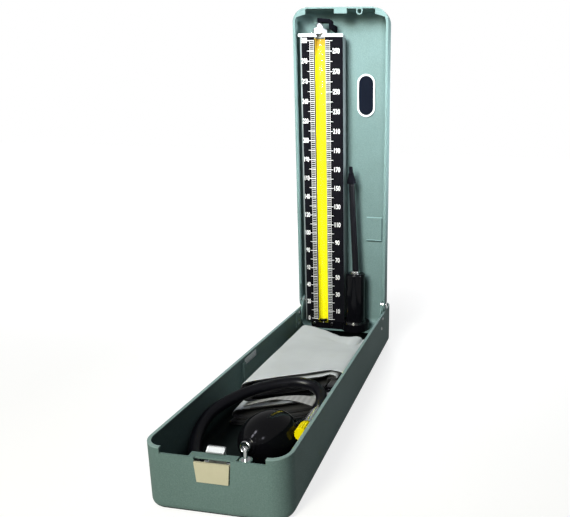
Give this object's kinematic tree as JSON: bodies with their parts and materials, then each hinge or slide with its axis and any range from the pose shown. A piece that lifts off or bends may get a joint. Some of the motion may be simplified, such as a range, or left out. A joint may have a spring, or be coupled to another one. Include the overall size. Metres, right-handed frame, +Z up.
{
  "type": "mercury sphygmomanometer",
  "caption": "Desk mercury blood-pressure gauge in a long hinged metal case: lid with tube, scale and reservoir, base with folded cuff, hose and bulb.",
  "frame": {"origin": "middle of the underside of the base, where the case rests", "axes": "+X to the right of a user who faces the scale, +Y towards the hinge end, +Z up"},
  "size_m": [0.0978, 0.335, 0.351],
  "materials": {
    "case_paint": "hammertone",
    "zinc_steel": "satin",
    "nickel": "polished",
    "bare_plate": "satin",
    "label": "matte",
    "cloth": "matte",
    "black_rubber": "satin",
    "yellow_plastic": "gloss",
    "enamel": "gloss",
    "aluminium": "satin",
    "black_face": "satin",
    "clear_glass": "clear",
    "mercury_metal": "mirror",
    "black_enamel": "gloss",
    "black_plastic": "gloss"
  },
  "bodies": {
    "base": {"base_shell": "case_paint", "hinge_bracket_left": "zinc_steel", "hinge_bracket_right": "zinc_steel", "hinge_pins": "nickel", "hinge_washers": "nickel", "bracket_rivets": "nickel", "latch_bracket": "case_paint", "latch_pin": "zinc_steel", "latch_spring": "zinc_steel", "guide_post": "nickel", "wall_clip": "case_paint", "wall_label": "label", "cuff": "cloth", "bladder": "black_rubber", "bladder_nipple": "black_rubber", "bulb": "black_rubber", "inlet_valve": "nickel", "release_valve": "nickel", "bulb_hose": "black_rubber"},
    "lid": {"lid_shell": "case_paint", "lid_catch": "case_paint", "lid_eye": "case_paint", "lid_pad": "case_paint", "badge_rim": "nickel", "badge_field": "enamel", "scale_plate": "aluminium", "scale_face": "black_face", "scale_trough": "yellow_plastic", "top_rail": "aluminium", "rail_screws": "nickel", "glass_tube": "clear_glass", "mercury": "mercury_metal", "tube_seal": "black_rubber", "tube_nut": "nickel", "tube_cap": "nickel", "tube_clip": "black_enamel", "foot_block": "black_enamel", "foot_screws": "nickel", "reservoir": "black_enamel", "reservoir_collar": "nickel", "reservoir_cap": "black_enamel", "reservoir_nipple": "nickel", "gauge_hose": "black_rubber", "hose_connector": "black_plastic"},
    "latch": {"latch_plate": "bare_plate", "latch_hook": "nickel"},
    "release_screw": {"release_screw": "yellow_plastic"}
  },
  "joints": [
    {"name": "lid_hinge", "type": "hinge", "parent": "base", "child": "lid", "pos_m": [0, 0.132, 0.052], "axis": [1, 0, 0], "range_deg": [0, 90]},
    {"name": "latch_pivot", "type": "hinge", "parent": "base", "child": "latch", "pos_m": [0, -0.1624, 0.0278], "axis": [-1, 0, 0], "range_deg": [0, 8], "stiffness_Nm_per_rad": 0.08, "springref_deg": -8.59, "deforming": ["latch_spring"]},
    {"name": "release_screw_turn", "type": "hinge", "parent": "base", "child": "release_screw", "pos_m": [0.0356, -0.104, 0.029], "axis": [0, -1, 0], "range_deg": [0, 540]}
  ]
}
